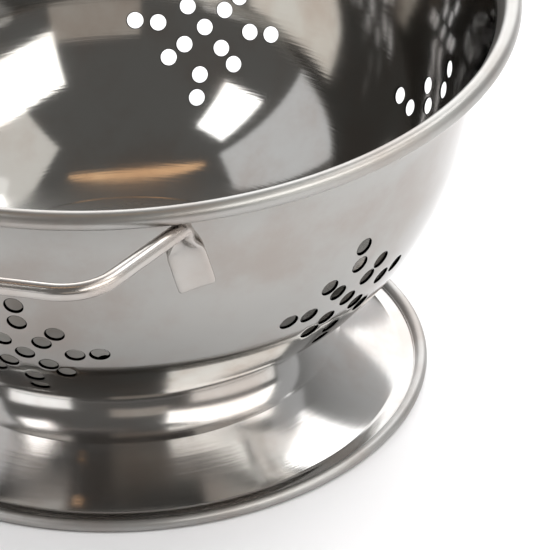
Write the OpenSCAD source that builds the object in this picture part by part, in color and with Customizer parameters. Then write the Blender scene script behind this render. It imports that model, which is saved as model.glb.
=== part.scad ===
// Footed colander of stainless sheet: a deep perforated bowl with a rolled rim, a flared pedestal foot
// and two round-wire loop handles. Every profile lies in the half plane x = radius, y = height, and the
// base plane of the foot is z = 0. The handles point along +X and -X.

/* [Bowl] */
// Outer diameter over the rolled rim
rim_d = 240; // [232:1:250]
// Height of the centre of the rolled rim above the table
rim_z = 123; // [120:0.5:126]
// Diameter of the rolled rim
bead_d = 5.6; // [4.8:0.1:6]
// Radius of the upper wall, outside, which is part of a sphere
wall_r = 106; // [105:0.1:107]
// Height of the centre of that sphere above the table
wall_z = 111.4; // [110:0.1:113]
// Lean of the straight wall above the sphere, in degrees from vertical
wall_lean = 14.4; // [13.5:0.1:15]
// Height above the table at which the straight wall flares out to the rim
flare_z = 107; // [104:0.5:109]
// Radius of the lower wall, outside
belly_r = 85; // [82:0.5:90]
// Direction, seen from the sphere's centre, in degrees below level, at which the lower wall begins
belly_start = 32; // [30:0.5:36]
// Thickness of the bowl's sheet
bowl_sheet = 0.7; // [0.5:0.1:1]

/* [Perforation] */
// Diameter of each drain hole
hole_d = 5; // [4:0.1:5.4]
// Number of stars of holes around the wall
star_count = 6; // [3:1:6]
// Height of the centre of each star above the table
star_z = 64.3; // [62:0.1:67]
// Distance from a star's centre to the inner holes of its diagonal arms
star_r1 = 8.3; // [7.8:0.1:8.8]
// Distance to the outer diagonal holes and to the inner upright and level holes
star_r2 = 14.6; // [14:0.1:15.2]
// Distance to the tips of the upright and level arms
star_r3 = 21.6; // [21:0.1:22.2]

/* [Foot] */
// Outer diameter over the rolled edge of the foot
foot_d = 179.4; // [176:0.2:184]
// Radius at which the foot turns down from the bowl
neck_r = 56.6; // [54:0.1:58]
// Width of the lip that lies against the bowl
lip_w = 8; // [5:0.5:10]
// Thickness of the foot's sheet
foot_sheet = 0.8; // [0.6:0.1:1]
// Radius of the tight upper cove
cove_r = 20; // [18:1:22]
// Radius of the long lower cove
skirt_r = 88; // [80:1:95]
// Height of the narrow level gutter inside the rolled edge
gutter_z = 1.9; // [1.8:0.1:2.3]
// Diameter of the rolled edge
edge_d = 3.6; // [2.8:0.1:3.6]

/* [Handles] */
// Diameter of the handle wire
wire_d = 5; // [4:0.1:5.5]
// Height of the wire's centre line where it runs level
handle_z = 117; // [115:0.5:117]
// Distance from the bowl's axis to the centre line of the grip
handle_reach = 142.5; // [136:0.5:150]
// Half the distance between the two welded ends
root_half = 51.5; // [48:0.5:53]
// Half the length that the grip would have with sharp corners
grip_half = 35.5; // [32:0.5:40]
// Bend radius of the grip's corners, on the centre line
grip_bend = 16; // [10:0.5:20]
// Bend radius where the wire turns away from the wall, on the centre line
root_bend = 5; // [4:0.5:6]
// Width of the flattened end
spade_w = 11; // [10:0.1:11.4]
// Angle by which the flattened end leans away from the handle's middle, in degrees
spade_splay = 14; // [12:1:16]
// How far the middle of the flattened end lies beyond the place where the wire meets the wall
spade_side = 2; // [1.5:0.1:2.5]
// Thickness of the flattened end
spade_t = 1.8; // [1.4:0.1:2]
// Height of the lower edge of the flattened end
spade_low_z = 91; // [90:0.5:94]

/* [Hidden] */
$fn = 96;
fine = 720;                        // steps of the large arcs
slip = 0.01;                       // how far neighbouring arcs run into each other where they join
bead_r = bead_d / 2;
bead_c = [rim_d / 2 - bead_r, rim_z];
bead_end = 225;                    // direction of the rolled rim's free edge, seen from its centre

// The wall runs through a belly, a sphere, a straight length and a flare, with no kink between them.
wall_c = [0, wall_z];
belly_c = wall_c + (wall_r - belly_r + slip) * polar(1, -belly_start);
floor_z = belly_c[1] - belly_r + 0.1;
wall_n = polar(1, -wall_lean);
straight_p = wall_c + (wall_r - slip) * wall_n;
flare_p = straight_at(flare_z) - slip * wall_n;
flare_d = bead_c - flare_p;
flare_s = bowl_sheet - bead_r;
flare_r = (flare_d * flare_d - flare_s * flare_s) / (2 * (flare_d * wall_n + flare_s));
flare_c = flare_p + flare_r * wall_n;
flare_end = heading(bead_c - flare_c);
wall_top = bead_c[1] + bead_r * sin(flare_end);

star_a = asin((wall_z - star_z) / wall_r);

// The foot leaves the bowl at the neck and follows two coves down to a level gutter and a rolled edge.
neck_a = acos((neck_r - belly_c[0]) / belly_r);
neck_p = belly_c + polar(belly_r, -neck_a);
cove_start = 73;                   // slopes below level, in degrees, at the top and foot of the upper cove
cove_end = 43;
cove_c = neck_p + cove_r * slope_normal(cove_start);
skirt_c = cove_c + (skirt_r - cove_r + slip) * slope_normal(cove_end);
skirt_end = acos((skirt_c[1] - gutter_z) / skirt_r);
skirt_x = skirt_c[0] - skirt_r * sin(skirt_end);
edge_r = edge_d / 2;
edge_c = [foot_d / 2 - edge_r, edge_r - 0.1];
edge_gap = [205, 250];

// The handle in its own place: x outwards from the bowl's axis, y along the grip, z up.
wire_r = wire_d / 2;
sink = 0.35;                       // depth by which the wire is bedded on the wall
root_lean = asin((handle_z - flare_c[1]) / flare_r);
root_r = flare_c[0] - flare_r * cos(root_lean) + wire_r / cos(root_lean);
root_x = sqrt(root_r * root_r - root_half * root_half);
root_a = atan2(root_half, root_x);
spade_h = 21;                      // length of the flattened end
bed = 0.6;                         // depth by which the flattened end is bedded, more as it lies across the curve
spade_mid_z = spade_low_z + spade_h / 2 * cos(spade_splay) * cos(wall_lean);
spade_a = root_a + atan(spade_side / straight_at(spade_mid_z)[0]);
tail_l = 17;                       // length of the wire below the bend, running into the flattened end
tail_dip = 13;                     // angle at which it does so
tail_turn = atan(spade_side / (handle_z - spade_mid_z));     // angle by which it leans to the flattened end

function heading(v) = atan2(v[1], v[0]);
function polar(r, a) = r * [cos(a), sin(a)];
function slope_normal(s) = [sin(s), cos(s)];
function unit(v) = v / norm(v);
function straight_at(z) = straight_p + (z - straight_p[1]) * [tan(wall_lean), 1];

// A pie slice of a disc round c, from direction a0 to a1.
module sector(c, r, a0, a1) {
    translate(c) intersection() {
        circle(r = r, $fn = fine);
        polygon([[0, 0], for (i = [0 : 4]) polar(3 * r, a0 + (a1 - a0) * i / 4)]);
    }
}

// A rolled edge: a ring of sheet round c that is open between two directions.
module curl(c, r_in, r_out, gap) {
    difference() {
        translate(c) circle(r = r_out);
        translate(c) circle(r = r_in);
        sector(c, 2 * r_out, gap[0], gap[1]);
    }
}

// Everything that lies deeper than t behind the bowl's outer surface, up to height top.
module bowl_fill(t, top) {
    intersection() {
        union() {
            translate(belly_c) circle(r = belly_r - t, $fn = fine);
            sector(wall_c, wall_r - t, -belly_start, 4);
            translate(-t * wall_n) polygon([
                [t, straight_p[1]], straight_p, straight_at(top + 5), [t, top + 5]]);
            difference() {
                translate([0, flare_z]) square([rim_d / 2, top - flare_z]);
                translate(flare_c) circle(r = flare_r + t, $fn = fine);
            }
        }
        translate([0, floor_z + t]) square([rim_d, top - floor_z - t]);
    }
}

module bowl_profile() {
    difference() {
        bowl_fill(0, wall_top);
        bowl_fill(bowl_sheet, wall_top + 1);
    }
    curl(bead_c, bead_r - bowl_sheet - slip, bead_r + slip, [flare_end + 12, bead_end]);
}

// One star of seventeen holes, punched along Z through the origin.
module star_punch(depth) {
    module punch() cylinder(d = hole_d, h = depth, center = true, $fn = 32);
    punch();
    for (a = [0 : 90 : 270]) {
        for (r = [star_r2, star_r3]) rotate(a) translate([r, 0, 0]) punch();
        for (r = [star_r1, star_r2]) rotate(a + 45) translate([r, 0, 0]) punch();
    }
}

module bowl() {
    color("silver") difference() {
        rotate_extrude() bowl_profile();
        for (k = [0 : star_count - 1])
            rotate([0, 0, k * 360 / star_count]) translate([0, 0, wall_z])
                rotate([0, star_a, 0]) translate([wall_r, 0, 0]) rotate([0, 90, 0]) star_punch(16);
        translate([0, 0, floor_z]) star_punch(6);
    }
}

module foot_profile() {
    lip_a = lip_w / belly_r * 180 / PI;
    difference() {
        union() {
            sector(belly_c, belly_r + foot_sheet, -neck_a - lip_a, -neck_a - 0.2);
            sector(cove_c, cove_r + foot_sheet, 260 - cove_start, 283 - cove_end);
            sector(skirt_c, skirt_r + foot_sheet, 270 - cove_end, 270.4 - skirt_end);
        }
        bowl_fill(0, wall_top);
        translate(cove_c) circle(r = cove_r, $fn = fine);
        sector(skirt_c, skirt_r, 270 - cove_end, 290);
    }
    translate([skirt_x - 0.3, gutter_z - foot_sheet])
        square([edge_c[0] - edge_r + 0.4 - skirt_x + 0.3, foot_sheet]);
    curl(edge_c, edge_r - foot_sheet, edge_r, edge_gap);
}

module foot() {
    color("lightgray") rotate_extrude() intersection() {
        foot_profile();
        square([rim_d, rim_z]);
    }
}

// Puts a child's own X, Y and Z along the three directions given, with its origin at p.
module place(x, y, z, p) {
    multmatrix([
        [x[0], y[0], z[0], p[0]],
        [x[1], y[1], z[1], p[1]],
        [x[2], y[2], z[2], p[2]],
        [0, 0, 0, 1]]) children();
}

// Round bar through the points of path, with one bend radius for each inner point. The straight
// lengths slip into the ends of the bends.
module bent_wire(path, bends) {
    reach = 0.2;
    last = len(path) - 1;
    dir = [for (i = [0 : last - 1]) unit(path[i + 1] - path[i])];
    turn = [for (i = [1 : last - 1]) acos(dir[i - 1] * dir[i])];
    trim = [0, for (i = [1 : last - 1]) bends[i - 1] * tan(turn[i - 1] / 2) - reach, 0];
    for (i = [0 : last - 1]) {
        from = path[i] + trim[i] * dir[i];
        length = norm(path[i + 1] - path[i]) - trim[i] - trim[i + 1];
        side = unit(cross(abs(dir[i][2]) < 0.9 ? [0, 0, 1] : [1, 0, 0], dir[i]));
        place(side, cross(dir[i], side), dir[i], from) cylinder(d = wire_d, h = length);
    }
    for (i = [1 : last - 1]) {
        axis = unit(cross(dir[i - 1], dir[i]));
        inward = cross(axis, dir[i - 1]);
        centre = path[i] - (trim[i] + reach) * dir[i - 1] + bends[i - 1] * inward;
        place(-inward, dir[i - 1], axis, centre)
            rotate_extrude(angle = turn[i - 1]) translate([bends[i - 1], 0]) circle(r = wire_r + 0.04);
    }
}

// The space inside the upper wall, which the welded ends are shaped to.
module wall_space() {
    rotate_extrude() intersection() {
        bowl_fill(0, wall_top);
        translate([0, spade_low_z - 4]) square([rim_d, wall_top - bead_r - spade_low_z + 4]);
    }
}

// The flattened end in its own plane: y up its length from its middle, x across it, thickness along z.
module spade() {
    half_top = wire_r + 0.7;
    half_low = spade_w / 2;
    toe = 1.2;
    linear_extrude(height = spade_t + bed) translate([0, -spade_h / 2])
        polygon([
            [half_top, spade_h], [-half_top, spade_h], [-half_low, spade_h - 5],
            [-half_low, toe], [toe - half_low, 0], [half_low - toe, 0], [half_low, toe],
            [half_low, spade_h - 5]]);
}

module handle() {
    out = [cos(root_a), sin(root_a), 0];
    across = [-sin(root_a), cos(root_a), 0];
    up = cos(wall_lean) * [0, 0, 1] + sin(wall_lean) * out;
    off = cos(wall_lean) * out - sin(wall_lean) * [0, 0, 1];
    back = cos(tail_turn) * up - sin(tail_turn) * across;
    root = [root_x, root_half, handle_z] - sink * off;
    half = [
        root - tail_l * (cos(tail_dip) * back + sin(tail_dip) * off),
        root,
        [handle_reach, grip_half, handle_z]];
    path = concat(half, [for (i = [2 : -1 : 0]) [half[i][0], -half[i][1], half[i][2]]]);
    difference() {
        union() {
            bent_wire(path, [root_bend, grip_bend, grip_bend, root_bend]);
            for (m = [0, 1]) mirror([0, m, 0]) spade_in_place();
        }
        wall_space();
    }
}

// One flattened end, lying on the wall at the middle of its own length.
module spade_in_place() {
    out = [cos(spade_a), sin(spade_a), 0];
    level = [-sin(spade_a), cos(spade_a), 0];
    rise = cos(wall_lean) * [0, 0, 1] + sin(wall_lean) * out;
    off = cos(wall_lean) * out - sin(wall_lean) * [0, 0, 1];
    place(
        cos(spade_splay) * level + sin(spade_splay) * rise,
        cos(spade_splay) * rise - sin(spade_splay) * level,
        off,
        straight_at(spade_mid_z)[0] * out + [0, 0, spade_mid_z] - bed * off) spade();
}

module handle_right() {
    color("gainsboro") handle();
}

module handle_left() {
    color("gainsboro") rotate([0, 0, 180]) handle();
}

bowl();
foot();
handle_right();
handle_left();
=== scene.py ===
"""A footed stainless colander: its looks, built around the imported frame."""

import math

import bmesh
import bpy
import numpy as np
from mathutils import Matrix, Vector, geometry


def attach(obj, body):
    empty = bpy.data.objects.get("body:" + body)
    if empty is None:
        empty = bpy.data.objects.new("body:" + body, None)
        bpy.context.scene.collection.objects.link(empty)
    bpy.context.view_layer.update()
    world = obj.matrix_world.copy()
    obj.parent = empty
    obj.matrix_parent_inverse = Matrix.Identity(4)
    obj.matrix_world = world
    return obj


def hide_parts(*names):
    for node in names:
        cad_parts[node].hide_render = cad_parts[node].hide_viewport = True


bl_info = {
    "name": "Footed Colander",
    "version": (1, 0, 0),
    "blender": (4, 5, 0),
    "location": "View3D > Sidebar > Colander",
    "description": "Builds a footed stainless colander from its real sizes",
    "category": "Add Mesh",
}

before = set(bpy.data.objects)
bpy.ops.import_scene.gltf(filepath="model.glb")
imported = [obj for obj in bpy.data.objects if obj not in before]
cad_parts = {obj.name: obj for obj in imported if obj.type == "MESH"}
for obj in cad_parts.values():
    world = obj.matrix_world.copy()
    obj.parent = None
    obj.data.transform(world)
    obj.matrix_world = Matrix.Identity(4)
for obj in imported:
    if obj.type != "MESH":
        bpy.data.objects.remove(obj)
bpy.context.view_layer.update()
MM = 0.001


def length(label, text, value):
    """A size property in metres, from a value in millimetres."""
    return bpy.props.FloatProperty(
        name=label, description=text, default=value * MM, unit="LENGTH", precision=5
    )


def tint(label, text, value):
    """A colour property, from an sRGB hex value."""
    return bpy.props.FloatVectorProperty(
        name=label, description=text, default=linear(value), subtype="COLOR", size=4, min=0, max=1
    )


def linear(value):
    """An sRGB hex colour as linear RGBA."""
    parts = [int(value[i : i + 2], 16) / 255 for i in (1, 3, 5)]
    return [c / 12.92 if c <= 0.04045 else ((c + 0.055) / 1.055) ** 2.4 for c in parts] + [1.0]


class BowlSizes(bpy.types.PropertyGroup):
    """Sizes of the bowl."""

    rim_d: length("Rim diameter", "Outer diameter over the rolled rim", 240)
    rim_z: length("Rim height", "Height of the rolled rim's centre", 123)
    bead_d: length("Rim roll", "Diameter of the rolled rim", 5.6)
    wall_r: length("Wall radius", "Outer radius of the spherical wall", 106)
    wall_z: length("Wall centre", "Height of the sphere's centre", 111.4)
    belly_r: length("Belly radius", "Outer radius of the lower wall", 85)
    flare_z: length("Flare height", "Height at which the wall flares out", 107)
    sheet: length("Sheet", "Thickness of the bowl's sheet", 0.7)
    wall_lean: bpy.props.FloatProperty(
        name="Wall lean", description="Lean of the straight wall from upright",
        default=math.radians(14.4), subtype="ANGLE",
    )
    belly_start: bpy.props.FloatProperty(
        name="Belly start", description="Direction below level at which the lower wall begins",
        default=math.radians(32), subtype="ANGLE",
    )


class HoleSizes(bpy.types.PropertyGroup):
    """Sizes of the drain holes and of the stars they form."""

    hole_d: length("Hole", "Diameter of a drain hole", 5)
    star_z: length("Star height", "Height of the middle of each star", 64.3)
    inner: length("Inner diagonal", "From a star's middle to its inner diagonal holes", 8.3)
    middle: length("Middle ring", "From a star's middle to its middle holes", 14.6)
    outer: length("Tips", "From a star's middle to its upright and level tips", 21.6)


class FootSizes(bpy.types.PropertyGroup):
    """Sizes of the pedestal foot."""

    foot_d: length("Foot diameter", "Outer diameter over the rolled edge", 179.4)
    neck_r: length("Neck radius", "Radius at which the foot leaves the bowl", 56.6)
    lip_w: length("Lip", "Width of the lip against the bowl", 8)
    cove_r: length("Cove radius", "Radius of the upper cove", 20)
    skirt_r: length("Skirt radius", "Radius of the long lower cove", 88)
    gutter_z: length("Gutter height", "Height of the narrow level gutter", 1.9)
    edge_d: length("Edge roll", "Diameter of the rolled edge", 3.6)
    sheet: length("Sheet", "Thickness of the foot's sheet", 0.8)


class HandleSizes(bpy.types.PropertyGroup):
    """Sizes of the two wire handles."""

    wire_d: length("Wire", "Diameter of the wire", 5)
    level: length("Height", "Height of the wire's centre line", 117)
    reach: length("Reach", "From the bowl's axis to the grip's centre line", 142.5)
    root_half: length("Root", "Half the distance between the welded ends", 51.5)
    grip_half: length("Grip", "Half the grip's length between sharp corners", 35.5)
    grip_bend: length("Grip bend", "Bend radius of the grip's corners", 16)
    root_bend: length("Root bend", "Bend radius at the wall", 5)
    spade_w: length("Spade width", "Width of the flattened end", 11)
    spade_side: length("Spade side", "From where the wire meets the wall to the flattened end's middle", 2)
    spade_splay: bpy.props.FloatProperty(
        name="Spade lean", description="Lean of the flattened end away from the handle's middle",
        default=math.radians(14), subtype="ANGLE",
    )
    spade_t: length("Spade thickness", "Thickness of the flattened end", 1.8)
    spade_low: length("Spade foot", "Height of the flattened end's lower edge", 91)


class Finish(bpy.types.PropertyGroup):
    """Colours of the metal and of the stage."""

    bowl: tint("Bowl", "Polished sheet of the bowl", "#A5A4A1")
    foot: tint("Foot", "Polished sheet of the foot", "#A6A5A3")
    wire: tint("Wire", "Polished wire of the handles", "#B7B4B0")
    floor: tint("Floor", "Pale table top", "#F4F4F6")


# ---------------------------------------------------------------- small tools


def polar(r, degrees):
    """The point at a distance r and a direction from the origin of a profile."""
    return np.array([r * math.cos(math.radians(degrees)), r * math.sin(math.radians(degrees))])


def arc(centre, r, start, end, steps):
    """Points along an arc of a profile, between two directions in degrees."""
    return [centre + polar(r, start + (end - start) * i / steps) for i in range(steps + 1)]


def arc_rows(centre, r, start, end, steps, side=1):
    """Rows (place, normal) along an arc of a profile; the normals of side -1 face its centre."""
    rows = []
    for i in range(steps + 1):
        n = polar(1, start + (end - start) * i / steps)
        rows.append((centre + r * n, side * n))
    return rows


def add_node(tree, kind, settings=None, **inputs):
    """Adds one node with its settings; an input is a value or another node's socket.

    An input is named as its socket, with _ for a space, or by its number, as in i0.
    """
    node = tree.nodes.new(kind)
    for key, value in (settings or {}).items():
        setattr(node, key, value)
    for key, value in inputs.items():
        key = int(key[1:]) if key[0] == "i" and key[1:].isdigit() else key.replace("_", " ")
        socket = node.inputs[key]
        if isinstance(value, bpy.types.NodeSocket):
            tree.links.new(value, socket)
        else:
            socket.default_value = value
    return node


def hand_over(obj, node, material):
    """Gives a finished piece its metal and its place on the frame."""
    obj.data.materials.append(material)
    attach(obj, "root")
    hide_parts(node)


def new_object(name, mesh):
    """An object in the scene that holds a mesh."""
    obj = bpy.data.objects.new(name, mesh)
    bpy.context.scene.collection.objects.link(obj)
    return obj


# ---------------------------------------------------------------- bowl


class Bowl:
    """The bowl's profile: its outer surface and the surfaces that lie a given depth inside it.

    From the bottom up it is a flat disc, the arc of the belly, the arc of the spherical wall, a
    short straight wall, the arc of the flare, and the rolled rim, which is called the bead.
    """

    def __init__(self, s):
        self.s = s
        self.bead_r = s.bead_d / 2
        self.bead = np.array([s.rim_d / 2 - self.bead_r, s.rim_z])
        self.wall = np.array([0, s.wall_z])
        self.lean = math.degrees(s.wall_lean)
        self.belly = self.wall + polar(s.wall_r - s.belly_r, -math.degrees(s.belly_start))
        self.floor = self.belly[1] - s.belly_r
        # The straight wall leaves the sphere at start, with the outward normal n.
        n = polar(1, -self.lean)
        self.n = n
        self.start = self.wall + s.wall_r * n
        # The flare bends outwards from flare_p and runs into the bead without a corner.
        self.flare_p = self.start + (s.flare_z - self.start[1]) * np.array([math.tan(s.wall_lean), 1])
        gap = self.bead - self.flare_p
        inset = s.sheet - self.bead_r
        self.flare_r = (gap @ gap - inset * inset) / (2 * (gap @ n + inset))
        self.flare = self.flare_p + self.flare_r * n
        to_bead = self.bead - self.flare
        self.flare_end = math.degrees(math.atan2(to_bead[1], to_bead[0]))

    def at_height(self, z, depth):
        """Radius and outward normal at a height of the belly, sphere or straight wall."""
        s = self.s
        if z < s.wall_z - (s.wall_r - depth) * math.sin(s.belly_start):
            centre, r = self.belly, s.belly_r - depth
        elif z < s.wall_z - (s.wall_r - depth) * math.sin(s.wall_lean):
            centre, r = self.wall, s.wall_r - depth
        else:
            p = self.start - depth * self.n
            return p[0] + (z - p[1]) * math.tan(s.wall_lean), self.n
        x = math.sqrt(r * r - (z - centre[1]) ** 2)
        return centre[0] + x, np.array([x, z - centre[1]]) / r

    def at_radius(self, r, depth):
        """Height and outward normal of the bottom at a radius."""
        if r <= self.belly[0]:
            return self.floor + depth, np.array([0.0, -1.0])
        k = self.s.belly_r - depth
        x = r - self.belly[0]
        return self.belly[1] - math.sqrt(k * k - x * x), np.array([x, -math.sqrt(k * k - x * x)]) / k


def star_holes(h):
    """The seventeen hole centres of a star, in its own plane."""
    out = [(0.0, 0.0)]
    for quarter in range(4):
        for turn, r in ((0, h.middle), (0, h.outer), (45, h.inner), (45, h.middle)):
            out.append(tuple(polar(r, 90 * quarter + turn)))
    return out


# The punched and slightly rounded wall of a hole, from the outer skin to the inner one: distance
# outside the hole's radius in mm, share of the sheet's thickness, lean of the surface in degrees.
HOLE_LIP = (
    (0.5, 0, 4), (0.32, 0.06, 30), (0.15, 0.19, 50), (0.04, 0.36, 72),
    (0, 0.55, 90), (0, 0.78, 90), (0.05, 0.92, 125), (0.2, 1, 180),
)
HOLE_STEPS = 28
HOLE_CLEAR = 1.3 * MM         # least distance of the plain points from a hole's radius
WELD = 0.002 * MM             # distance within which the points of neighbouring patches are joined
CURL_END = -135.0             # direction of the rolled rim's free edge, in degrees


class Skin:
    """Collects one closed sheet with exact normals, and welds its patches."""

    def __init__(self):
        self.bm = bmesh.new()
        self.layer = self.bm.verts.layers.float_vector.new("smooth_n")

    def vert(self, co, normal):
        v = self.bm.verts.new(co)
        v[self.layer] = Vector(normal).normalized()
        return v

    def face(self, verts):
        self.bm.faces.new(verts)

    def ring(self, row, steps):
        """The points of one row of a turned surface."""
        (r, z), (nr, nz) = row
        out = []
        for i in range(steps):
            a = 2 * math.pi * i / steps
            c, s = math.cos(a), math.sin(a)
            out.append(self.vert((r * c, r * s, z), (nr * c, nr * s, nz)))
        return out

    def band(self, rows, steps):
        """Quads between rings, from row to row, facing outwards when rows climb the outer skin."""
        rings = [self.ring(row, steps) for row in rows]
        for low, high in zip(rings, rings[1:]):
            for i in range(steps):
                j = (i + 1) % steps
                self.face((low[i], low[j], high[j], high[i]))

    def finish(self, name):
        """The welded mesh, shaded with the collected normals."""
        bmesh.ops.remove_doubles(self.bm, verts=self.bm.verts, dist=WELD)
        mesh = bpy.data.meshes.new(name)
        self.bm.to_mesh(mesh)
        self.bm.free()
        attribute = mesh.attributes["smooth_n"]
        normals = np.zeros(len(mesh.vertices) * 3, np.float32)
        attribute.data.foreach_get("vector", normals)
        mesh.attributes.remove(attribute)
        mesh.shade_smooth()
        mesh.normals_split_custom_set_from_vertices(normals.reshape(-1, 3).tolist())
        return mesh


def triangulate(points, loops):
    """Triangles of a flat patch whose outline is convex; loops are lists of point indices."""
    edges = [(a, b) for loop in loops for a, b in zip(loop, loop[1:] + loop[:1])]
    _, _, faces, origin, _, _ = geometry.delaunay_2d_cdt(
        [Vector(p) for p in points], edges, [], 0, 1e-7
    )
    out = []
    for face in faces:
        tri = [origin[i][0] for i in face]
        (ax, ay), (bx, by), (cx, cy) = (points[i] for i in tri)
        if (bx - ax) * (cy - ay) - (by - ay) * (cx - ax) < 0:
            tri.reverse()
        out.append(tri)
    return out


def perforated(skin, sheet, hole_r, outline, grid, holes, flat, place):
    """A patch of both skins with holes through it.

    outline and grid are points of the patch's flat plan; holes gives for each hole a function of
    (distance from its axis, angle, depth) that returns a place on the sheet, its normal and the
    direction away from the hole's axis; flat turns a place into a point of the plan, and place
    turns a point of the plan and a depth into a place and its normal.
    """
    turns = [2 * math.pi * j / HOLE_STEPS for j in range(HOLE_STEPS)]
    marks = np.array([flat(hole(0, 0, 0)[0]) for hole in holes])
    free = [
        p for p in grid
        if np.min(np.hypot(marks[:, 0] - p[0], marks[:, 1] - p[1])) > hole_r + HOLE_CLEAR
    ]
    plan = list(outline)
    loops = []
    for hole in holes:
        loops.append(list(range(len(plan), len(plan) + HOLE_STEPS)))
        plan += [flat(hole(hole_r + HOLE_LIP[0][0] * MM, a, 0)[0]) for a in turns]
    plan += free
    bores = [set(loop) for loop in loops]
    tris = [tri for tri in triangulate(plan, loops) if not any(bore.issuperset(tri) for bore in bores)]
    lips = []
    for hole in holes:
        lip = []
        for away_mm, share, lean in HOLE_LIP:
            c, s = math.cos(math.radians(lean)), math.sin(math.radians(lean))
            spots = [hole(hole_r + away_mm * MM, a, share * sheet) for a in turns]
            lip.append([skin.vert(co, n * c - away * s) for co, n, away in spots])
        lips.append(lip)

    def plain(points, depth, side):
        spots = [place(p, depth) for p in points]
        return [skin.vert(co, n * side) for co, n in spots]

    for side, depth, row in ((1, 0, 0), (-1, sheet, -1)):
        verts = plain(outline, depth, side)
        verts += [v for lip in lips for v in lip[row]]
        verts += plain(free, depth, side)
        for tri in tris:
            skin.face([verts[i] for i in tri[::side]])
    # The faces of the hole walls wind the other way from the two skins' and from their own normals.
    for lip in lips:
        for upper, lower in zip(lip, lip[1:]):
            for j in range(HOLE_STEPS):
                k = (j + 1) % HOLE_STEPS
                skin.face((upper[j], lower[j], lower[k], upper[k]))


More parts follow.
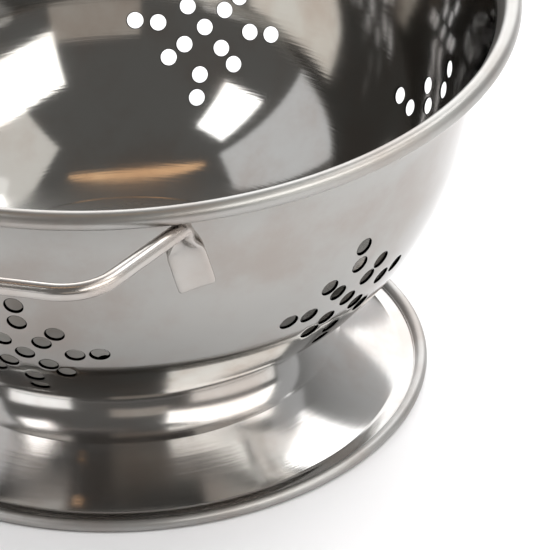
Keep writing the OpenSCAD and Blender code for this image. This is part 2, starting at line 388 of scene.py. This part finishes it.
class OBJECT_OT_colander_bowl(bpy.types.Operator):
    """Build the perforated bowl with its rolled rim"""

    bl_idname = "object.colander_bowl"
    bl_label = "Bowl"

    STEPS = 240                   # points round each ring of the plain parts
    STARS = 6                     # stars round the wall
    LOW, HIGH = 38.5, 89.0        # heights of the band that holds the wall stars, in mm
    DISC = 31.0                   # radius of the patch that holds the bottom star, in mm
    # The band's plan: width for each radian, and height for each metre, near the sheet's own sizes.
    PLAN_WIDE, PLAN_TALL = 96 * MM, 1.18
    BAND_ROWS = 16                # rows of the band's outline; its grid has two for each
    PLANE_BACK, PLANE_FRONT = -12 * MM, 6 * MM    # where the wall is looked for, from a star's plane
    HALVINGS = 34                 # halvings of that search
    PITCH, ROW = 1.9 * MM, 0.866  # the bottom's triangular grid: spacing, and row height as a share
    DISC_CLEAR = 0.9 * MM         # least distance of that grid from the patch's outline

    def execute(self, context):
        scene = context.scene
        bowl, h = Bowl(scene.colander_bowl), scene.colander_holes
        skin = Skin()
        t = bowl.s.sheet
        low, high, disc = self.LOW * MM, self.HIGH * MM, self.DISC * MM
        for k in range(self.STARS):
            self.wall_star(skin, bowl, h, 360 / self.STARS * k, low, high)
        self.bottom_star(skin, bowl, h, disc)
        # The plain parts of the outer skin, then of the inner one, which lies straight behind it.
        belly_low = math.degrees(math.asin((disc - bowl.belly[0]) / bowl.s.belly_r)) - 90
        belly_high = math.degrees(math.asin((low - bowl.belly[1]) / bowl.s.belly_r))
        r, n = bowl.at_height(high, 0)
        bend_end = bowl.flare_end
        for depth, side in ((0.0, 1), (t, -1)):
            self.lay(skin, arc_rows(bowl.belly, bowl.s.belly_r - depth, belly_low, belly_high, 14), side)
            foot, head = np.array([r, high]) - depth * n, bowl.flare_p - depth * bowl.n
            rows = [(foot + (head - foot) * i / 5, n) for i in range(6)]
            rows += arc_rows(bowl.flare, bowl.flare_r + depth, 180 - bowl.lean, bend_end, 10, -1)[1:]
            curl_r = bowl.bead_r - (t if side > 0 else 0)
            rows += arc_rows(bowl.bead, curl_r, bend_end, CURL_END, 44, -1)[1:]
            self.lay(skin, rows, side)
        edge = bowl.bead + polar(bowl.bead_r - t / 2, CURL_END)
        self.lay(skin, arc_rows(edge, t / 2, CURL_END + 180, CURL_END + 360, 6), 1)
        obj = new_object("bowl_skin", skin.finish("bowl_skin"))
        metal = steel("polished_stainless_bowl", scene.colander_finish.bowl, 0.065, 110, BOWL_SATIN)
        hand_over(obj, "bowl", metal)
        return {"FINISHED"}

    def lay(self, skin, rows, side):
        """Lays rows that climb the outer skin; the inner skin's are laid back down, facing in."""
        skin.band(rows if side > 0 else [(p, -n) for p, n in rows[::-1]], self.STEPS)

    def wall_star(self, skin, bowl, h, turn, low, high):
        """One share of the perforated band, with its star."""
        s = bowl.s
        tilt = math.asin((s.wall_z - h.star_z) / s.wall_r)
        spin = Matrix.Rotation(math.radians(turn), 3, "Z")
        out = np.array([math.cos(tilt), 0, -math.sin(tilt)])
        up = np.array([math.sin(tilt), 0, math.cos(tilt)])
        middle = np.array([0, 0, s.wall_z]) + s.wall_r * out
        across = np.array([0, 1, 0])
        wide, tall = self.PLAN_WIDE, self.PLAN_TALL

        def turned(v):
            return np.array(spin @ Vector(v))

        def flat(co):
            x, y, z = np.array(spin.transposed() @ Vector(co))
            return (math.atan2(y, x) * wide, z * tall)

        def place(p, depth):
            # The inner skin's points lie straight behind the outer ones.
            a, z = p[0] / wide, p[1] / tall
            r, n = bowl.at_height(z, 0)
            r, z = r - depth * n[0], z - depth * n[1]
            c, q = math.cos(a), math.sin(a)
            return turned((r * c, r * q, z)), turned((n[0] * c, n[0] * q, n[1]))

        def hole_at(u, v):
            def hole(radius, angle, depth):
                # Halves the stretch along the hole's axis in which the skin at this depth lies.
                away = math.cos(angle) * across + math.sin(angle) * up
                base = middle + u * across + v * up + radius * away
                back, front = self.PLANE_BACK, self.PLANE_FRONT
                for _ in range(self.HALVINGS):
                    half = (back + front) / 2
                    p = base + half * out
                    if math.hypot(p[0], p[1]) < bowl.at_height(p[2], depth)[0]:
                        back = half
                    else:
                        front = half
                p = base + back * out
                n = bowl.at_height(p[2], depth)[1]
                r = math.hypot(p[0], p[1])
                normal = np.array([n[0] * p[0] / r, n[0] * p[1] / r, n[1]])
                return turned(p), turned(normal), turned(away)

            return hole

        # The outline's points fall on the rings of the plain parts above and below.
        share, rows, half_turn = self.STEPS // self.STARS, self.BAND_ROWS, 180 / self.STARS
        angles = [math.radians(-half_turn + 2 * half_turn * i / share) for i in range(share + 1)]
        heights = [low + (high - low) * j / rows for j in range(rows + 1)]
        bottom = [(a * wide, low * tall) for a in angles]
        top = [(a * wide, high * tall) for a in angles][::-1]
        right = [(angles[-1] * wide, z * tall) for z in heights[1:-1]]
        left = [(angles[0] * wide, z * tall) for z in heights[1:-1]][::-1]
        grid = []
        for j in range(1, 2 * rows):
            z = low + (high - low) * j / (2 * rows)
            for i in range(1, 2 * share):
                if (i + j) % 2 == 0:
                    grid.append((math.radians(-half_turn + half_turn * i / share) * wide, z * tall))
        holes = [hole_at(u, v) for u, v in star_holes(h)]
        perforated(skin, s.sheet, h.hole_d / 2, bottom + right + top + left, grid, holes, flat, place)

    def bottom_star(self, skin, bowl, h, disc):
        """The flat bottom with its own star; its plan is seen from below, so x is mirrored."""

        def flat(co):
            return (-co[0], co[1])

        def place(p, depth):
            x, y = -p[0], p[1]
            r = math.hypot(x, y)
            z, n = bowl.at_radius(r, 0)
            c, q = (x / r, y / r) if r > 1e-9 else (1, 0)
            normal = np.array([n[0] * c, n[0] * q, n[1]])
            return np.array([x, y, z]) - depth * normal, normal

        def hole_at(u, v):
            def hole(radius, angle, depth):
                away = np.array([-math.cos(angle), math.sin(angle), 0])
                x, y = -u + radius * away[0], v + radius * away[1]
                z, n = bowl.at_radius(math.hypot(x, y), depth)
                r = math.hypot(x, y) or 1
                return np.array([x, y, z]), np.array([n[0] * x / r, n[0] * y / r, n[1]]), away

            return hole

        turns = [2 * math.pi * i / self.STEPS for i in range(self.STEPS)]
        outline = [(-disc * math.cos(a), disc * math.sin(a)) for a in turns][::-1]
        grid = []
        count = int(disc / self.PITCH) + 1
        for j in range(-count, count + 1):
            for i in range(-count, count + 1):
                p = ((i + 0.5 * (j % 2)) * self.PITCH, j * self.PITCH * self.ROW)
                if math.hypot(*p) < disc - self.DISC_CLEAR:
                    grid.append(p)
        holes = [hole_at(u, v) for u, v in star_holes(h)]
        perforated(skin, bowl.s.sheet, h.hole_d / 2, outline, grid, holes, flat, place)


# ---------------------------------------------------------------- foot


class OBJECT_OT_colander_foot(bpy.types.Operator):
    """Build the pedestal foot with its gutter and rolled edge"""

    bl_idname = "object.colander_foot"
    bl_label = "Foot"

    STEPS = 240                         # points round the foot
    COVE_TOP, COVE_FOOT = 73.0, 43.0    # slopes of the cove at its two ends, in degrees
    CREASE = 7.0                        # how far the cove runs on past the skirt's slope, in degrees
    FADE = 3.4                          # stretch of the skirt in which the crease fades, in degrees
    FADE_SHARES = (0.03, 0.1, 0.3, 0.6, 1.0)    # shares of that stretch at which it has points
    FADE_CURVE = 1.4                    # exponent of the fading
    GUTTER_BEND = 2.6 * MM              # bend radius between the skirt and the gutter
    EDGE_FREE = -108                    # direction of the rolled edge's free end, in degrees
    CLEAR = 0.02 * MM                   # gap between the lip and the bowl

    def execute(self, context):
        scene = context.scene
        points = self.profile(Bowl(scene.colander_bowl), scene.colander_foot)
        mesh = bpy.data.meshes.new("foot_skin")
        edges = [(i, (i + 1) % len(points)) for i in range(len(points))]
        mesh.from_pydata([(p[0], 0, p[1]) for p in points], edges, [])
        obj = new_object("foot_skin", mesh)
        turn = obj.modifiers.new("turned", "SCREW")
        turn.steps = turn.render_steps = self.STEPS
        turn.use_merge_vertices = True
        turn.merge_threshold = 0.01 * MM
        turn.use_smooth_shade = True
        turn.use_normal_flip = False
        metal = steel("polished_stainless_foot", scene.colander_finish.foot, 0.12, 75, FOOT_SATIN)
        hand_over(obj, "foot", metal)
        return {"FINISHED"}

    def profile(self, bowl, f):
        """The closed outline of the foot's sheet, from the lip down the side that shows and back.

        The small angles and distances trim each stretch where the next one meets it.
        """
        t, belly_r = f.sheet, bowl.s.belly_r
        neck = math.degrees(math.acos((f.neck_r - bowl.belly[0]) / belly_r))
        cove = bowl.belly + polar(belly_r, -neck) + f.cove_r * self.uphill(self.COVE_TOP)
        skirt = cove + (f.skirt_r - f.cove_r) * self.uphill(self.COVE_FOOT)
        skirt_end = math.degrees(math.acos((skirt[1] - f.gutter_z) / f.skirt_r))
        corner = skirt + polar(f.skirt_r, 270 - skirt_end)
        edge_r = f.edge_d / 2
        edge = np.array([f.foot_d / 2 - edge_r, edge_r])
        groove = edge[0] - edge_r
        # The side that shows: cove, crease, skirt, gutter and the outside of the rolled edge.
        meet = 270 - self.COVE_FOOT
        points = arc(cove, f.cove_r, 270 - self.COVE_TOP - 3.0, meet + self.CREASE, 20)
        after = math.degrees(math.radians(self.CREASE) * f.cove_r / f.skirt_r)
        raised = f.skirt_r - float(np.hypot(*(points[-1] - skirt)))
        for share in self.FADE_SHARES:
            r = f.skirt_r - raised * (1 - share) ** self.FADE_CURVE
            points.append(skirt + polar(r, meet + after + self.FADE * share))
        points += arc(skirt, f.skirt_r, meet + after + self.FADE, 270 - skirt_end - 1.6, 18)[1:]
        points += self.fillet(corner, self.uphill(skirt_end), f.gutter_z, self.GUTTER_BEND, 6)
        for out, down in ((-0.75, 0), (-0.25, 0.18), (0.12, 0.3)):
            points.append(np.array([groove + out * MM, f.gutter_z - down * MM]))
        points += arc(edge, edge_r, 168, self.EDGE_FREE, 40)
        # The hidden side: the inside of the rolled edge, the gutter, skirt and cove, and the lip.
        points.append(edge + polar(edge_r - t, self.EDGE_FREE))
        points += arc(edge, edge_r - t, self.EDGE_FREE + 8, 150, 22)[1:]
        points.append(np.array([groove + 0.3 * MM, f.gutter_z - t - 0.15 * MM]))
        points.append(np.array([corner[0] + 0.4 * MM, f.gutter_z - t]))
        points += arc(skirt, f.skirt_r + t, 270 - skirt_end - 0.9, meet, 20)
        points += arc(cove, f.cove_r + t, meet, 270 - self.COVE_TOP + 6, 10)[1:]
        lip = math.degrees(f.lip_w / belly_r)
        points += arc(bowl.belly, belly_r + t, -neck - 0.9, -neck - lip, 8)
        points += arc(bowl.belly, belly_r + self.CLEAR, -neck - lip, -neck - 0.12, 8)
        return points

    @staticmethod
    def uphill(slope):
        """Direction off a surface that falls away at a slope, in degrees."""
        return np.array([math.sin(math.radians(slope)), math.cos(math.radians(slope))])

    @staticmethod
    def fillet(corner, normal, level, r, steps):
        """A small inside bend between a slope and a level run at height level."""
        slope = math.degrees(math.acos(normal[1]))
        reach = r * math.tan(math.radians(slope / 2))
        centre = np.array([corner[0] + reach, level + r])
        return arc(centre, r, 270 - slope, 270, steps)


# ---------------------------------------------------------------- handles


class OBJECT_OT_colander_handles(bpy.types.Operator):
    """Build the two wire handles with their flattened, welded ends"""

    bl_idname = "object.colander_handles"
    bl_label = "Handles"

    SIDES = 16                    # control points round the wire
    DIP = math.radians(13)        # angle at which the wire runs down onto the wall
    SPADE_H = 21 * MM             # length of the flattened end
    # The flattened end from its top down: share of its length, of its width and of its thickness.
    FLAT = (
        (0.96, 0.66, 2.35), (0.86, 0.84, 1.9), (0.75, 1.0, 1.5), (0.6, 1.0, 1.25), (0.44, 1.0, 1.1),
        (0.28, 1.0, 1.0), (0.12, 1.0, 1.0), (0.04, 0.99, 0.97), (0.012, 0.96, 0.88), (0.0, 0.88, 0.7),
    )
    SQUARED = 0.62                # exponent that squares the flattened end's round section
    DISHED = 0.3                  # share by which the flattened end is thinner along its middle
    DISH_CURVE = 6                # exponent of that hollow, so that it is flat in its middle

    def execute(self, context):
        scene = context.scene
        bowl, w = Bowl(scene.colander_bowl), scene.colander_handles
        metal = steel("polished_stainless_wire", scene.colander_finish.wire, 0.2, 60, ())
        for name, turn in (("right", 0.0), ("left", 180.0)):
            mesh = self.cage(bowl, w)
            mesh.transform(Matrix.Rotation(math.radians(turn), 4, "Z"))
            obj = new_object("handle_wire_" + name, mesh)
            mirror = obj.modifiers.new("both_ends", "MIRROR")
            mirror.use_axis = (False, True, False)
            mirror.merge_threshold = 0.02 * MM
            smooth = obj.modifiers.new("smooth", "SUBSURF")
            smooth.levels = smooth.render_levels = 2
            hand_over(obj, "handle_" + name, metal)
        return {"FINISHED"}

    @staticmethod
    def wall_frame(bowl, angle):
        """Directions outwards, level, up the straight wall and off it, at an angle round the bowl."""
        out = Vector((math.cos(angle), math.sin(angle), 0))
        z = Vector((0, 0, 1))
        c, s = math.cos(bowl.s.wall_lean), math.sin(bowl.s.wall_lean)
        return out, z.cross(out), z * c + out * s, out * c - z * s

    @staticmethod
    def root(bowl, w):
        """The place where the wire's centre line would meet the wall."""
        lean = math.asin((w.level - bowl.flare[1]) / bowl.flare_r)
        r = bowl.flare[0] - bowl.flare_r * math.cos(lean) + w.wire_d / 2 / math.cos(lean)
        return Vector((math.sqrt(r * r - w.root_half**2), w.root_half, w.level))

    def spade_middle_z(self, bowl, w):
        """Height of the flattened end's middle."""
        return w.spade_low + self.SPADE_H / 2 * math.cos(w.spade_splay) * math.cos(bowl.s.wall_lean)

    def wire_path(self, bowl, w):
        """Centre line of half a handle, from the grip's middle to where the flattened end begins."""
        root = self.root(bowl, w)
        corner = Vector((w.reach, w.grip_half, w.level))
        along, leg = Vector((0, 1, 0)), (root - corner).normalized()
        _, level, up, off = self.wall_frame(bowl, math.atan2(root.y, root.x))
        turn = math.atan(w.spade_side / (w.level - self.spade_middle_z(bowl, w)))
        back = up * math.cos(turn) - level * math.sin(turn)
        down = -(back * math.cos(self.DIP) + off * math.sin(self.DIP))
        path = [Vector((w.reach, 0, w.level)), Vector((w.reach, w.grip_half * 0.3, w.level))]
        path += self.bend(corner, along, leg, w.grip_bend, 3 * MM, 8)
        path += self.bend(root, leg, down, w.root_bend, 2 * MM, 6)
        # The last point would fall inside the flattened end.
        return path[:-1]

    @staticmethod
    def bend(corner, first, second, r, margin, steps):
        """Points round a bend between two directions, with one more a margin before and after it."""
        turn = math.acos(first.dot(second))
        trim = r * math.tan(turn / 2)
        inward = (second - first * first.dot(second)).normalized()
        centre = corner - first * trim + inward * r
        points = [corner - first * (trim + margin)]
        for i in range(steps + 1):
            a = turn * i / steps
            points.append(centre - inward * r * math.cos(a) + first * r * math.sin(a))
        return points + [corner + second * (trim + margin)]

    def cage(self, bowl, w):
        """Control mesh of half a handle; its open end lies on the mirror plane."""
        n = self.SIDES
        turns = [2 * math.pi * k / n for k in range(n)]
        # A ring of control points ends up inside its own radius once it is subdivided.
        swell = 3 / (2 + math.cos(2 * math.pi / n))
        path = self.wire_path(bowl, w)
        r = w.wire_d / 2 * swell
        side = Vector((-1, 0, 0))
        verts = []
        for i, p in enumerate(path):
            d = (path[min(i + 1, len(path) - 1)] - path[i - 1]).normalized() if i else Vector((0, 1, 0))
            side = (side - d * side.dot(d)).normalized()
            top = d.cross(side)
            verts += [p + (side * math.cos(a) + top * math.sin(a)) * r for a in turns]
        verts += self.flattened(bowl, w, turns, swell)
        faces = [
            (j + k, j + (k + 1) % n, j + n + (k + 1) % n, j + n + k)
            for j in range(0, len(verts) - n, n) for k in range(n)
        ]
        end = len(verts) - n
        faces += [(end + k, end + k + 1, end + n - 2 - k, end + n - 1 - k) for k in range(n // 2 - 1)]
        mesh = bpy.data.meshes.new("handle_wire")
        mesh.from_pydata([tuple(v) for v in verts], [], faces)
        mesh.shade_smooth()
        return mesh

    def flattened(self, bowl, w, turns, swell):
        """Rings of the flattened end, which lies on the wall and is slightly dished along its middle."""
        splay, lean = w.spade_splay, bowl.s.wall_lean
        middle_z = self.spade_middle_z(bowl, w)
        middle_r = bowl.start[0] + (middle_z - bowl.start[1]) * math.tan(lean)
        root = self.root(bowl, w)
        angle = math.atan2(root.y, root.x) + math.atan(w.spade_side / middle_r)
        out, level, up, off = self.wall_frame(bowl, angle)
        back = up * math.cos(splay) - level * math.sin(splay)
        across = level * math.cos(splay) + up * math.sin(splay)
        middle = out * middle_r + Vector((0, 0, middle_z))
        verts = []
        for share, width, thick in self.FLAT:
            centre = middle + back * (share - 0.5) * self.SPADE_H
            for a in turns:
                c, s = math.cos(a), math.sin(a)
                x = math.copysign(abs(c) ** self.SQUARED, c) * w.spade_w / 2 * width
                rise = (1 - math.copysign(abs(s) ** self.SQUARED, s)) / 2
                if s < 0:
                    rise *= 1 - self.DISHED * abs(s) ** self.DISH_CURVE
                lift = rise * thick * w.spade_t * swell
                verts.append(self.on_wall(bowl, centre - across * x * swell + off * lift, lift))
        return verts

    @staticmethod
    def on_wall(bowl, q, lift):
        """Moves a point so that it stands lift off the wall."""
        z = q.z
        r = math.hypot(q.x, q.y)
        if z < bowl.s.flare_z:
            wall, n = bowl.at_height(z, 0)
            slope = n[0]
        else:
            wall = bowl.flare[0] - math.sqrt(bowl.flare_r**2 - (z - bowl.flare[1]) ** 2)
            slope = math.cos(math.asin((z - bowl.flare[1]) / bowl.flare_r))
        target = wall + lift / slope
        return Vector((q.x * target / r, q.y * target / r, z))


# ---------------------------------------------------------------- metal


# The rolled rims are only brushed, and use has dulled the bottom inside and out. Each row: what the
# band is measured along, where it begins and where it is full in mm, and how much rougher it is.
BOWL_SATIN = (("height", 119, 121.5, 0.28), ("height", 30, 19, 0.34))
FOOT_SATIN = (("radius", 85, 87, 0.28),)

RING_LONG = 40                # length of a buffing mark round the piece, in mm
RING_FINE = 0.0009            # distance between buffing marks, in metres
CLOUD = 0.03                  # size of the cloudy patches, in metres
WARM = (0.9, 0.84, 0.81)      # share of red, green and blue that a cloudy patch keeps


def steel(name, colour, polish, radius, satin):
    """Polished stainless steel sheet or wire, buffed round the bowl's axis.

    The eye sees soft, slightly smeared reflections, faint rings from the buffing wheel, a few warm
    cloudy patches where the polish is less even, and the satin bands of the rows in satin. polish
    is the metal's usual roughness, and radius, in mm, is where a buffing mark has its full length.
    """
    material = bpy.data.materials.new(name)
    material.use_nodes = True
    tree = material.node_tree
    tree.nodes.clear()
    place = add_node(tree, "ShaderNodeTexCoord").outputs["Object"]
    split = add_node(tree, "ShaderNodeSeparateXYZ", i0=place)
    x, y, height = split.outputs
    flat = add_node(tree, "ShaderNodeVectorMath", {"operation": "MULTIPLY"}, i0=place, i1=(1, 1, 0))
    reach = add_node(tree, "ShaderNodeVectorMath", {"operation": "LENGTH"}, i0=flat.outputs[0])
    reach = reach.outputs["Value"]
    # Rings: noise that is stretched round the axis.
    turn = add_node(tree, "ShaderNodeMath", {"operation": "ARCTAN2"}, i0=y, i1=x)
    times = {"operation": "MULTIPLY"}
    along = add_node(tree, "ShaderNodeMath", times, i0=turn.outputs[0], i1=radius / RING_LONG)
    up = add_node(tree, "ShaderNodeMath", times, i0=height, i1=1 / RING_FINE)
    out = add_node(tree, "ShaderNodeMath", times, i0=reach, i1=1 / RING_FINE)
    rings = add_node(
        tree, "ShaderNodeCombineXYZ", i0=along.outputs[0], i1=up.outputs[0], i2=out.outputs[0]
    )
    buff = add_node(tree, "ShaderNodeTexNoise", Vector=rings.outputs[0], Scale=1.0, Detail=3.0, Roughness=0.6)
    # Cloudy patches, with finer ones inside them: they begin where the noise passes From_Min.
    cloud = add_node(tree, "ShaderNodeTexNoise", Vector=place, Scale=1 / CLOUD, Detail=5.0, Roughness=0.6)
    patch = add_node(
        tree, "ShaderNodeMapRange", {"interpolation_type": "SMOOTHSTEP"}, Value=cloud.outputs["Fac"],
        From_Min=0.38, From_Max=0.68,
    )
    rough = add_node(
        tree, "ShaderNodeMapRange", Value=patch.outputs[0], To_Min=polish * 0.85, To_Max=polish * 1.3,
    )
    rough = add_node(
        tree, "ShaderNodeMath", {"operation": "MULTIPLY_ADD"},
        i0=buff.outputs["Fac"], i1=0.04, i2=rough.outputs[0],
    )
    for axis, begins, full, more in satin:
        band = add_node(
            tree, "ShaderNodeMapRange", Value=height if axis == "height" else reach,
            From_Min=begins * MM, From_Max=full * MM, To_Max=more,
        )
        plus = {"operation": "ADD"}
        rough = add_node(tree, "ShaderNodeMath", plus, i0=rough.outputs[0], i1=band.outputs[0])
    warm = [c * k for c, k in zip(colour[:3], WARM)]
    shade = add_node(
        tree, "ShaderNodeMix", {"data_type": "RGBA"}, i0=patch.outputs[0], i6=list(colour), i7=warm + [1]
    )
    bump = add_node(tree, "ShaderNodeBump", Strength=0.022, Distance=0.0004, Height=buff.outputs["Fac"])
    metal = add_node(
        tree, "ShaderNodeBsdfPrincipled", Base_Color=shade.outputs[2], Metallic=1.0,
        Roughness=rough.outputs[0], Normal=bump.outputs[0],
    )
    add_node(tree, "ShaderNodeOutputMaterial", Surface=metal.outputs[0])
    return material


# ---------------------------------------------------------------- stage


class OBJECT_OT_colander_stage(bpy.types.Operator):
    """Set the pale floor, the soft studio light and the camera"""

    bl_idname = "object.colander_stage"
    bl_label = "Stage"

    FLOOR_R = 4.0                 # radius of the floor, in metres
    # name, direction round the table, half width, lower and upper edge (in degrees, seen from the
    # middle of the table), distance in metres, glow, colour
    LIGHTS = (
        ("window_left", 139.5, 9.5, 39, 58, 1.7, 4.2, "#FFFFFF"),
        ("window_left_low", 147, 18, 4, 19, 1.8, 2.2, "#FFFFFF"),
        ("window_right", -108, 33, 29, 49, 1.7, 3.8, "#FFFDFA"),
        ("window_right_low", -102, 26, 4, 20, 1.8, 1.7, "#FFFDFA"),
        ("softbox_back", -42, 17, 42, 62, 1.7, 3.6, "#FFFFFF"),
        ("backdrop", 8, 30, 8, 46, 1.9, 2.0, "#FFFFFF"),
        ("wall_left", 106, 17, 18, 62, 1.7, 1.1, "#F4F5F8"),
        ("wall_right", -66, 8, 5, 62, 1.7, 0.6, "#F4F5F8"),
        ("wall_right_high", -84, 34, 51, 70, 1.3, 1.25, "#F8F5F0"),
        ("wall_behind", -157, 16, 17, 30, 1.7, 0.6, "#E8DCD0"),
    )
    # name, shape, width and length in metres, power, colour, place, turn in degrees
    OVERHEAD = (
        ("ceiling_strip", "ELLIPSE", 0.17, 1.35, 0.9, "#FFCB94", (-0.21, 0.15, 2.1), 19),
        ("overhead_fill", "RECTANGLE", 3.2, 3.2, 40, "#FFFFFF", (0.2, 0, 2.4), 0),
    )
    BACK_WALL = 12                # direction of the room's white side, in degrees
    LENS, SENSOR = 446.02, 36.0   # focal length and sensor width, in mm
    STAND = (0, -1.72569, 1.10054)                     # the camera's place before its turn, in metres
    TURN = -72.17                                      # its turn round the table, in degrees
    YAW, PITCH, ROLL = 0.0261315, 0.5552452, -0.0394136    # aim off level and straight ahead, in radians

    def execute(self, context):
        scene = context.scene
        mesh = bpy.data.meshes.new("floor")
        bm = bmesh.new()
        bmesh.ops.create_circle(bm, cap_ends=True, segments=96, radius=self.FLOOR_R)
        bm.to_mesh(mesh)
        bm.free()
        floor = new_object("floor", mesh)
        floor.data.materials.append(self.table_top(scene.colander_finish.floor))
        self.upright(scene)
        self.overhead(scene)
        self.room(scene)
        self.camera(scene)
        return {"FINISHED"}

    @staticmethod
    def lamp(scene, data, colour):
        """An area light's object in the scene, in its colour."""
        data.color = linear(colour)[:3]
        lamp = bpy.data.objects.new(data.name, data)
        scene.collection.objects.link(lamp)
        return lamp

    def upright(self, scene):
        """Upright lit panels round the table, each as bright to the eye as its glow says."""
        for name, turn, half, low, high, distance, glow, colour in self.LIGHTS:
            data = bpy.data.lights.new(name, "AREA")
            lamp = self.lamp(scene, data, colour)
            foot, head = (distance * math.tan(math.radians(a)) for a in (low, high))
            wide, tall = 2 * distance * math.tan(math.radians(half)), head - foot
            lamp.location = (*polar(distance, turn), (foot + head) / 2)
            lamp.rotation_euler = (math.radians(90), 0, math.radians(turn + 90))
            data.shape, data.size, data.size_y = "RECTANGLE", wide, tall
            data.energy = glow * math.pi * wide * tall

    def overhead(self, scene):
        """A warm strip lamp, and a broad light for the table that the metal doesn't mirror."""
        for name, shape, wide, long, power, colour, place, turn in self.OVERHEAD:
            data = bpy.data.lights.new(name, "AREA")
            lamp = self.lamp(scene, data, colour)
            data.shape, data.size, data.size_y, data.energy = shape, wide, long, power
            lamp.location = place
            lamp.rotation_euler = (0, 0, math.radians(turn))
            lamp.visible_glossy = name == "ceiling_strip"

    @staticmethod
    def table_top(colour):
        """Pale lacquered board: an even white that mirrors the foot only softly."""
        material = bpy.data.materials.new("lacquered_white_board")
        material.use_nodes = True
        tree = material.node_tree
        tree.nodes.clear()
        board = add_node(tree, "ShaderNodeBsdfPrincipled", Base_Color=list(colour), Roughness=0.35)
        add_node(tree, "ShaderNodeOutputMaterial", Surface=board.outputs[0])
        return material

    def room(self, scene):
        """A grey room in front of the table and a white wall behind it, with plain tones."""
        world = bpy.data.worlds.new("room")
        scene.world = world
        world.use_nodes = True
        scene.view_settings.view_transform = "Standard"
        tree = world.node_tree
        tree.nodes.clear()
        way = add_node(tree, "ShaderNodeTexCoord").outputs["Generated"]
        back = (*polar(1, self.BACK_WALL), 0)
        ahead = add_node(tree, "ShaderNodeVectorMath", {"operation": "DOT_PRODUCT"}, i0=way, i1=back)
        white = add_node(
            tree, "ShaderNodeMapRange", {"interpolation_type": "SMOOTHSTEP"}, Value=ahead.outputs["Value"],
            From_Min=0.1, From_Max=0.95,
        )
        wall = add_node(
            tree, "ShaderNodeMix", {"data_type": "RGBA"}, i0=white.outputs[0],
            i6=linear("#7A7977"), i7=linear("#FCFCFD"),
        )
        room = add_node(tree, "ShaderNodeBackground", Color=wall.outputs[2], Strength=1.0)
        add_node(tree, "ShaderNodeOutputWorld", Surface=room.outputs[0])

    def camera(self, scene):
        """Long lens, a little over thirty degrees above level, turned to the -X handle."""
        data = bpy.data.cameras.new("view")
        data.sensor_width, data.lens, data.clip_end = self.SENSOR, self.LENS, 20.0
        view = bpy.data.objects.new("view", data)
        scene.collection.objects.link(view)
        yaw, pitch, roll = self.YAW, self.PITCH, self.ROLL
        look = Vector((math.sin(yaw) * math.cos(pitch), math.cos(yaw) * math.cos(pitch), -math.sin(pitch)))
        right = Vector((math.cos(yaw), -math.sin(yaw), 0))
        up = right.cross(look)
        right, up = (
            right * math.cos(roll) + up * math.sin(roll),
            up * math.cos(roll) - right * math.sin(roll),
        )
        spin = Matrix.Rotation(math.radians(self.TURN), 4, "Z")
        basis = Matrix((right, up, -look)).transposed().to_4x4()
        view.matrix_world = spin @ Matrix.Translation(self.STAND) @ basis
        scene.camera = view



class VIEW3D_PT_colander(bpy.types.Panel):
    """Sizes, finishes and build buttons of the colander"""

    bl_idname = "VIEW3D_PT_colander"
    bl_label = "Footed Colander"
    bl_space_type = "VIEW_3D"
    bl_region_type = "UI"
    bl_category = "Colander"

    def draw(self, context):
        for name, group, operators in PARTS:
            box = self.layout.box()
            box.label(text=name)
            settings = getattr(context.scene, group)
            for key in settings.__annotations__:
                box.prop(settings, key)
            for operator in operators:
                box.operator(operator)


PARTS = (
    ("Bowl", "colander_bowl", ("object.colander_bowl",)),
    ("Drain holes", "colander_holes", ()),
    ("Foot", "colander_foot", ("object.colander_foot",)),
    ("Handles", "colander_handles", ("object.colander_handles",)),
    ("Finish", "colander_finish", ("object.colander_stage",)),
)
GROUPS = {
    "colander_bowl": BowlSizes,
    "colander_holes": HoleSizes,
    "colander_foot": FootSizes,
    "colander_handles": HandleSizes,
    "colander_finish": Finish,
}
CLASSES = (
    *GROUPS.values(),
    OBJECT_OT_colander_bowl,
    OBJECT_OT_colander_foot,
    OBJECT_OT_colander_handles,
    OBJECT_OT_colander_stage,
    VIEW3D_PT_colander,
)


def register():
    for cls in CLASSES:
        bpy.utils.register_class(cls)
    for name, cls in GROUPS.items():
        setattr(bpy.types.Scene, name, bpy.props.PointerProperty(type=cls))


def unregister():
    for name in GROUPS:
        delattr(bpy.types.Scene, name)
    for cls in reversed(CLASSES):
        bpy.utils.unregister_class(cls)


def main():
    register()
    bpy.ops.object.colander_bowl()
    bpy.ops.object.colander_foot()
    bpy.ops.object.colander_handles()
    bpy.ops.object.colander_stage()


if __name__ == "__main__":
    main()
